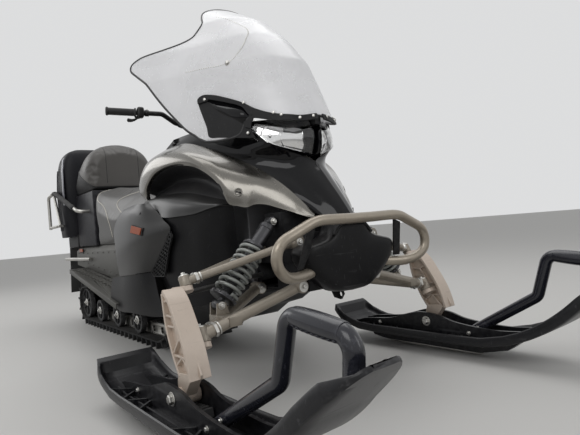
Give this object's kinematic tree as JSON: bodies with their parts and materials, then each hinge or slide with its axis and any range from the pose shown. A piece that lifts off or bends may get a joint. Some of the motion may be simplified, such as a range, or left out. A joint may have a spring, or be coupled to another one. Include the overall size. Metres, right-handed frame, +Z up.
{
  "type": "snowmobile",
  "caption": "Touring snowmobile for two with a tall wrap-round windscreen, wishbone front suspension, steerable skis with pull loops, a belted track and rear grab rails.",
  "frame": {"origin": "on the floor under the middle of the machine's box", "axes": "+X forward, +Y to the rider's left, +Z up"},
  "size_m": [3.299, 1.292, 1.4401],
  "materials": {
    "track_rubber": "matte, lugged",
    "wheel_black": "moulded wheels with rubber tyres",
    "alloy_bare": "satin extrusion",
    "alloy_sheet": "satin sheet",
    "steel_black": "satin black frame paint",
    "engine_grey": "cast, dull",
    "arm_champagne": "metallic champagne, worn",
    "shock_dark": "dark anodised body",
    "spring_grey": "grey powder coat",
    "spindle_cast": "cast and coated champagne",
    "rod_black": "satin black",
    "ski_plastic": "moulded, worn pale at the edges",
    "runner_steel": "worn",
    "loop_plastic": "smooth moulded",
    "bumper_champagne": "metallic champagne, chipped",
    "pan_black": "moulded black",
    "panel_champagne": "metallic silver champagne",
    "hood_black": "gloss black",
    "cover_black": "fine grain",
    "knee_grey": "satin dark grey",
    "screen_clear": "clear, hazed and scratched",
    "lamp_clear": "clear lens over chrome",
    "bar_black": "satin black",
    "seat_vinyl": "grey vinyl, piped",
    "passenger_vinyl": "taupe vinyl, seamed",
    "trunk_black": "grained",
    "lamp_red": "red lens",
    "flap_rubber": "matte"
  },
  "bodies": {
    "chassis": {"track": "track_rubber", "track_wheels": "wheel_black", "drive_axle": "wheel_black", "skid_frame": "alloy_bare", "tunnel": "alloy_sheet", "running_boards": "alloy_sheet", "front_frame": "steel_black", "engine_block": "engine_grey", "upper_arms": "arm_champagne", "lower_arms": "arm_champagne", "shock_absorbers": "shock_dark", "shock_springs": "spring_grey", "front_bumper": "bumper_champagne", "nose_cover": "pan_black", "side_panel_right": "panel_champagne", "side_panel_left": "panel_champagne", "hood": "hood_black", "side_cover_right": "cover_black", "side_cover_left": "cover_black", "knee_panel_right": "knee_grey", "knee_panel_left": "knee_grey", "belly_pan": "pan_black", "footwells": "cover_black", "windscreen": "screen_clear", "screen_brackets": "cover_black", "headlamps": "lamp_clear", "dash_console": "cover_black", "driver_seat": "seat_vinyl", "passenger_seat": "passenger_vinyl", "seat_base": "trunk_black", "backrest": "trunk_black", "tail_cover": "trunk_black", "tail_lamp": "lamp_red", "snow_flap": "flap_rubber", "grab_rails": "bumper_champagne", "rear_bumper": "bumper_champagne"},
    "steering": {"handlebar": "bar_black"},
    "spindle_right_body": {"spindle_right": "spindle_cast"},
    "spindle_left_body": {"spindle_left": "spindle_cast"},
    "tie_rod_right_body": {"tie_rod_right": "rod_black"},
    "tie_rod_left_body": {"tie_rod_left": "rod_black"},
    "ski_right_body": {"ski_right": "ski_plastic", "ski_runner_right": "runner_steel", "ski_loop_right": "loop_plastic"},
    "ski_left_body": {"ski_left": "ski_plastic", "ski_runner_left": "runner_steel", "ski_loop_left": "loop_plastic"}
  },
  "joints": [
    {"name": "handlebar_steer", "type": "hinge", "parent": "chassis", "child": "steering", "pos_m": [0.055, 0, 1.062], "axis": [-0.6157, 0, 0.788], "range_deg": [-35, 35]},
    {"name": "spindle_steer_right", "type": "hinge", "parent": "chassis", "child": "spindle_right_body", "pos_m": [0.955, -0.49, 0.257], "axis": [-0.454, 0, 0.891], "range_deg": [-30, 30]},
    {"name": "tie_rod_turn_right", "type": "hinge", "parent": "spindle_right_body", "child": "tie_rod_right_body", "pos_m": [0.8, -0.49, 0.345], "axis": [-0.454, 0, 0.891], "range_deg": [-30, 30]},
    {"name": "ski_pitch_right", "type": "hinge", "parent": "spindle_right_body", "child": "ski_right_body", "pos_m": [0.945, -0.54, 0.112], "axis": [0, 1, 0], "range_deg": [-12, 5]},
    {"name": "spindle_steer_left", "type": "hinge", "parent": "chassis", "child": "spindle_left_body", "pos_m": [0.955, 0.49, 0.257], "axis": [-0.454, 0, 0.891], "range_deg": [-30, 30]},
    {"name": "tie_rod_turn_left", "type": "hinge", "parent": "spindle_left_body", "child": "tie_rod_left_body", "pos_m": [0.8, 0.49, 0.345], "axis": [-0.454, 0, 0.891], "range_deg": [-30, 30]},
    {"name": "ski_pitch_left", "type": "hinge", "parent": "spindle_left_body", "child": "ski_left_body", "pos_m": [0.945, 0.54, 0.112], "axis": [0, 1, 0], "range_deg": [-12, 5]}
  ],
  "couplings": [
    {"joint": "spindle_steer_right", "follows": "handlebar_steer", "ratio": 0.857},
    {"joint": "tie_rod_turn_right", "follows": "handlebar_steer", "ratio": -0.857},
    {"joint": "spindle_steer_left", "follows": "handlebar_steer", "ratio": 0.857},
    {"joint": "tie_rod_turn_left", "follows": "handlebar_steer", "ratio": -0.857}
  ]
}
